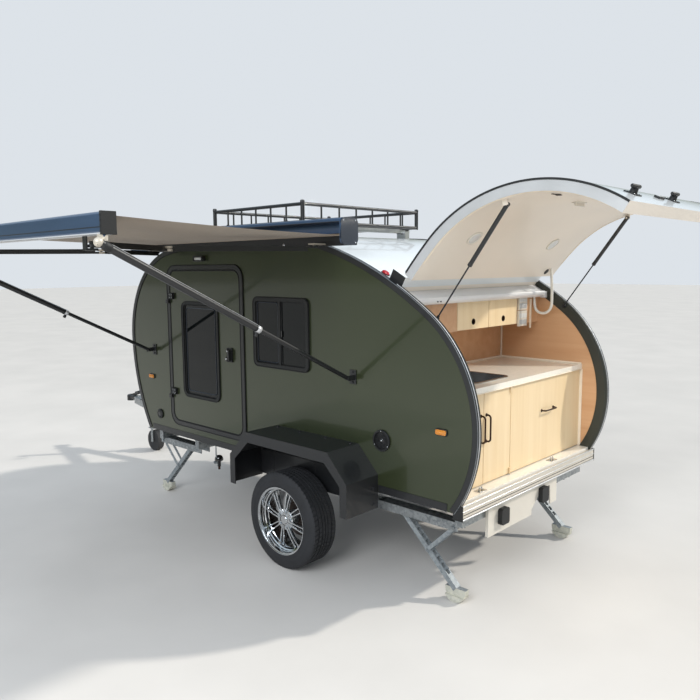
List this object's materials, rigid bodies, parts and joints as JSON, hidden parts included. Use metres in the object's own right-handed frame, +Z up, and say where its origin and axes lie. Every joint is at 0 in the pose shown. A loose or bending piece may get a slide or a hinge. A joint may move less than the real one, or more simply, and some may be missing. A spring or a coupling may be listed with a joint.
{
  "type": "teardrop trailer",
  "caption": "Small teardrop camping trailer with a cabin, raised rear galley hatch, side awning, roof basket, fenders, corner steadies and a jockey wheel on its drawbar.",
  "frame": {"origin": "centre of the tow ball in the coupling head", "axes": "+X forward out of the coupling, +Y to the left, +Z up; the ground is 0.45 m below the origin"},
  "size_m": [5.3701, 3.2403, 2.18],
  "materials": {
    "body_paint": "glossy dark green",
    "skin_paint": "glossy white",
    "black_trim": "satin black",
    "black_plastic": "black plastic",
    "tinted_glass": "tinted",
    "lamp_lens": "clear lens",
    "plywood": "varnished plywood",
    "light_wood": "varnished maple veneer",
    "pale_board": "pale veneer",
    "worktop_board": "off-white laminate",
    "aluminium": "plain sheet",
    "galvanised": "galvanised",
    "black_steel": "black",
    "alloy": "polished",
    "tyre_rubber": "rubber",
    "wheel_rubber": "solid rubber",
    "slate_blue": "slate blue",
    "awning_cloth": "tan cloth",
    "mattress_cloth": "woven",
    "cream_hose": "ribbed cream conduit"
  },
  "bodies": {
    "trailer": {"body_walls": "body_paint", "body_skins": "skin_paint", "floor": "plywood", "edge_trims": "black_trim", "door_frames": "black_trim", "side_windows": "black_plastic", "side_panes": "tinted_glass", "side_lamps": "lamp_lens", "wall_vents": "black_plastic", "galley_step": "aluminium", "worktop": "worktop_board", "galley_units": "light_wood", "hatch_header": "black_trim", "axle": "galvanised", "chassis": "galvanised", "coupler": "black_steel", "fenders": "black_trim", "roof_rack": "black_trim", "awning_cassette": "slate_blue", "awning_fabric": "awning_cloth", "rear_sill": "aluminium", "mattress": "mattress_cloth", "hatch_cable": "cream_hose"},
    "door_left": {"door_left": "body_paint"},
    "door_right": {"door_right": "body_paint"},
    "galley_door_left": {"galley_door_left": "light_wood"},
    "galley_door_right": {"galley_door_right": "light_wood"},
    "galley_drawer": {"galley_drawer": "light_wood"},
    "flap_left": {"flap_left": "pale_board"},
    "flap_right": {"flap_right": "pale_board"},
    "hatch": {"hatch_panel": "skin_paint"},
    "wheel_left": {"tyre_left": "tyre_rubber", "rim_left": "alloy"},
    "wheel_right": {"tyre_right": "tyre_rubber", "rim_right": "alloy"},
    "jockey_tube": {"jockey_tube": "galvanised"},
    "jockey_fork": {"jockey_fork": "galvanised"},
    "jockey_wheel": {"jockey_wheel": "wheel_rubber"},
    "lead_rail": {"lead_rail": "slate_blue"},
    "strut_cylinder_left": {"strut_cylinder_left": "black_steel"},
    "strut_rod_left": {"strut_rod_left": "galvanised"},
    "strut_cylinder_right": {"strut_cylinder_right": "black_steel"},
    "strut_rod_right": {"strut_rod_right": "galvanised"},
    "arm_upper_rear": {"arm_upper_rear": "black_steel"},
    "arm_fore_rear": {"arm_fore_rear": "black_steel"},
    "leg_outer_rear": {"leg_outer_rear": "black_steel"},
    "leg_inner_rear": {"leg_inner_rear": "black_steel"},
    "arm_upper_front": {"arm_upper_front": "black_steel"},
    "arm_fore_front": {"arm_fore_front": "black_steel"},
    "leg_outer_front": {"leg_outer_front": "black_steel"},
    "leg_inner_front": {"leg_inner_front": "black_steel"},
    "steady_brace_rear_left": {"steady_brace_rear_left": "galvanised"},
    "steady_leg_rear_left": {"steady_leg_rear_left": "galvanised"},
    "steady_brace_rear_right": {"steady_brace_rear_right": "galvanised"},
    "steady_leg_rear_right": {"steady_leg_rear_right": "galvanised"},
    "steady_brace_front_left": {"steady_brace_front_left": "galvanised"},
    "steady_leg_front_left": {"steady_leg_front_left": "galvanised"},
    "steady_brace_front_right": {"steady_brace_front_right": "galvanised"},
    "steady_leg_front_right": {"steady_leg_front_right": "galvanised"}
  },
  "joints": [
    {"name": "door_left_hinge", "type": "hinge", "parent": "trailer", "child": "door_left", "pos_m": [-1.987, 0.768, 0.76], "axis": [0, 0, -1], "range_deg": [0, 90]},
    {"name": "door_right_hinge", "type": "hinge", "parent": "trailer", "child": "door_right", "pos_m": [-1.987, -0.768, 0.76], "axis": [0, 0, 1], "range_deg": [0, 90]},
    {"name": "galley_door_left_hinge", "type": "hinge", "parent": "trailer", "child": "galley_door_left", "pos_m": [-4.464, 0.709, 0.4], "axis": [0, 0, -1], "range_deg": [0, 90]},
    {"name": "galley_door_right_hinge", "type": "hinge", "parent": "trailer", "child": "galley_door_right", "pos_m": [-4.464, 0.15, 0.4], "axis": [0, 0, 1], "range_deg": [0, 90]},
    {"name": "galley_drawer_slide", "type": "slide", "parent": "trailer", "child": "galley_drawer", "axis": [-1, 0, 0], "range_m": [0, 0.3]},
    {"name": "flap_left_hinge", "type": "hinge", "parent": "trailer", "child": "flap_left", "pos_m": [-4.146, 0.057, 1.121], "axis": [0, 1, 0], "range_deg": [0, 80]},
    {"name": "flap_right_hinge", "type": "hinge", "parent": "trailer", "child": "flap_right", "pos_m": [-4.146, -0.277, 1.121], "axis": [0, 1, 0], "range_deg": [0, 80]},
    {"name": "hatch_hinge", "type": "hinge", "parent": "trailer", "child": "hatch", "pos_m": [-4.17527, 0, 1.27912], "axis": [0, 1, 0], "range_deg": [-82, 0], "deforming": ["hatch_cable"]},
    {"name": "strut_pivot_left", "type": "hinge", "parent": "hatch", "child": "strut_cylinder_left", "pos_m": [-4.74016, 0.69, 1.60439], "axis": [0, 1, 0], "range_deg": [-24.62, 0]},
    {"name": "strut_slide_left", "type": "slide", "parent": "strut_cylinder_left", "child": "strut_rod_left", "axis": [0.5859, 0, -0.8104], "range_m": [-0.29489, 0]},
    {"name": "strut_pivot_right", "type": "hinge", "parent": "hatch", "child": "strut_cylinder_right", "pos_m": [-4.74016, -0.69, 1.60439], "axis": [0, 1, 0], "range_deg": [-24.62, 0]},
    {"name": "strut_slide_right", "type": "slide", "parent": "strut_cylinder_right", "child": "strut_rod_right", "axis": [0.5859, 0, -0.8104], "range_m": [-0.29489, 0]},
    {"name": "wheel_left_spin", "type": "hinge", "parent": "trailer", "child": "wheel_left", "pos_m": [-3.42, 0.87, -0.162], "axis": [0, 1, 0], "continuous": true},
    {"name": "wheel_right_spin", "type": "hinge", "parent": "trailer", "child": "wheel_right", "pos_m": [-3.42, -0.87, -0.162], "axis": [0, 1, 0], "continuous": true},
    {"name": "steady_rear_left_brace", "type": "hinge", "parent": "trailer", "child": "steady_brace_rear_left", "pos_m": [-4.425, 0.6, -0.035], "axis": [0, 1, 0], "range_deg": [-40, 4]},
    {"name": "steady_rear_left_leg", "type": "hinge", "parent": "steady_brace_rear_left", "child": "steady_leg_rear_left", "pos_m": [-4.24517, 0.6, -0.20866], "axis": [0, 1, 0], "range_deg": [-8, 80]},
    {"name": "steady_rear_right_brace", "type": "hinge", "parent": "trailer", "child": "steady_brace_rear_right", "pos_m": [-4.425, -0.6, -0.035], "axis": [0, 1, 0], "range_deg": [-40, 4]},
    {"name": "steady_rear_right_leg", "type": "hinge", "parent": "steady_brace_rear_right", "child": "steady_leg_rear_right", "pos_m": [-4.24517, -0.6, -0.20866], "axis": [0, 1, 0], "range_deg": [-8, 80]},
    {"name": "steady_front_left_brace", "type": "hinge", "parent": "trailer", "child": "steady_brace_front_left", "pos_m": [-1.63, 0.6, -0.035], "axis": [0, -1, 0], "range_deg": [-40, 4]},
    {"name": "steady_front_left_leg", "type": "hinge", "parent": "steady_brace_front_left", "child": "steady_leg_front_left", "pos_m": [-1.80984, 0.6, -0.20866], "axis": [0, -1, 0], "range_deg": [-8, 80]},
    {"name": "steady_front_right_brace", "type": "hinge", "parent": "trailer", "child": "steady_brace_front_right", "pos_m": [-1.63, -0.6, -0.035], "axis": [0, -1, 0], "range_deg": [-40, 4]},
    {"name": "steady_front_right_leg", "type": "hinge", "parent": "steady_brace_front_right", "child": "steady_leg_front_right", "pos_m": [-1.80984, -0.6, -0.20866], "axis": [0, -1, 0], "range_deg": [-8, 80]},
    {"name": "jockey_slide", "type": "slide", "parent": "trailer", "child": "jockey_tube", "axis": [0, 0, -1], "range_m": [-0.18, 0.06]},
    {"name": "jockey_swivel", "type": "hinge", "parent": "jockey_tube", "child": "jockey_fork", "pos_m": [-0.41, 0, -0.15], "axis": [0, 0, 1], "continuous": true},
    {"name": "jockey_wheel_spin", "type": "hinge", "parent": "jockey_fork", "child": "jockey_wheel", "pos_m": [-0.444, 0, -0.35], "axis": [0, 1, 0], "continuous": true},
    {"name": "awning_shoulder_rear", "type": "hinge", "parent": "trailer", "child": "arm_upper_rear", "pos_m": [-3.6, 0.83, 1.43], "axis": [0, 0, 1], "range_deg": [-55.5, 0], "deforming": ["awning_fabric"]},
    {"name": "awning_elbow_rear", "type": "hinge", "parent": "arm_upper_rear", "child": "arm_fore_rear", "pos_m": [-3.15254, 1.48106, 1.43], "axis": [0, 0, 1], "range_deg": [0, 111]},
    {"name": "awning_rail_pivot", "type": "hinge", "parent": "arm_fore_rear", "child": "lead_rail", "pos_m": [-3.6, 2.13212, 1.43], "axis": [0, 0, 1], "range_deg": [-55.5, 0]},
    {"name": "awning_shoulder_front", "type": "hinge", "parent": "trailer", "child": "arm_upper_front", "pos_m": [-1.96, 0.83, 1.43], "axis": [0, 0, 1], "range_deg": [0, 55.5]},
    {"name": "awning_elbow_front", "type": "hinge", "parent": "arm_upper_front", "child": "arm_fore_front", "pos_m": [-2.40746, 1.48106, 1.43], "axis": [0, 0, 1], "range_deg": [-111, 0]},
    {"name": "leg_fold_rear", "type": "hinge", "parent": "lead_rail", "child": "leg_outer_rear", "pos_m": [-3.82, 2.21412, 1.43], "axis": [0.5, -0.7653, 0.4054], "range_deg": [0, 109.47]},
    {"name": "leg_slide_rear", "type": "slide", "parent": "leg_outer_rear", "child": "leg_inner_rear", "axis": [0, -0.8924, -0.4512], "range_m": [-0.65, 0]},
    {"name": "leg_fold_front", "type": "hinge", "parent": "lead_rail", "child": "leg_outer_front", "pos_m": [-1.752, 2.21412, 1.43], "axis": [-0.5, -0.7653, 0.4054], "range_deg": [-109.47, 0]},
    {"name": "leg_slide_front", "type": "slide", "parent": "leg_outer_front", "child": "leg_inner_front", "axis": [0, -0.8924, -0.4512], "range_m": [-0.65, 0]}
  ],
  "couplings": [
    {"joint": "strut_pivot_left", "follows": "hatch_hinge", "ratio": 0.30024},
    {"joint": "strut_slide_left", "follows": "hatch_hinge", "m_per_rad": 0.20605},
    {"joint": "strut_pivot_right", "follows": "hatch_hinge", "ratio": 0.30024},
    {"joint": "strut_slide_right", "follows": "hatch_hinge", "m_per_rad": 0.20605},
    {"joint": "steady_rear_left_leg", "follows": "steady_rear_left_brace", "ratio": -2},
    {"joint": "steady_rear_right_leg", "follows": "steady_rear_right_brace", "ratio": -2},
    {"joint": "steady_front_left_leg", "follows": "steady_front_left_brace", "ratio": -2},
    {"joint": "steady_front_right_leg", "follows": "steady_front_right_brace", "ratio": -2},
    {"joint": "awning_elbow_rear", "follows": "awning_shoulder_rear", "ratio": -2},
    {"joint": "awning_rail_pivot", "follows": "awning_shoulder_rear", "ratio": 1},
    {"joint": "awning_shoulder_front", "follows": "awning_shoulder_rear", "ratio": -1},
    {"joint": "awning_elbow_front", "follows": "awning_shoulder_rear", "ratio": 2},
    {"joint": "leg_fold_rear", "follows": "awning_shoulder_rear", "ratio": -1.9724},
    {"joint": "leg_slide_rear", "follows": "awning_shoulder_rear", "m_per_rad": 0.67103},
    {"joint": "leg_fold_front", "follows": "awning_shoulder_rear", "ratio": 1.9724},
    {"joint": "leg_slide_front", "follows": "awning_shoulder_rear", "m_per_rad": 0.67103}
  ]
}
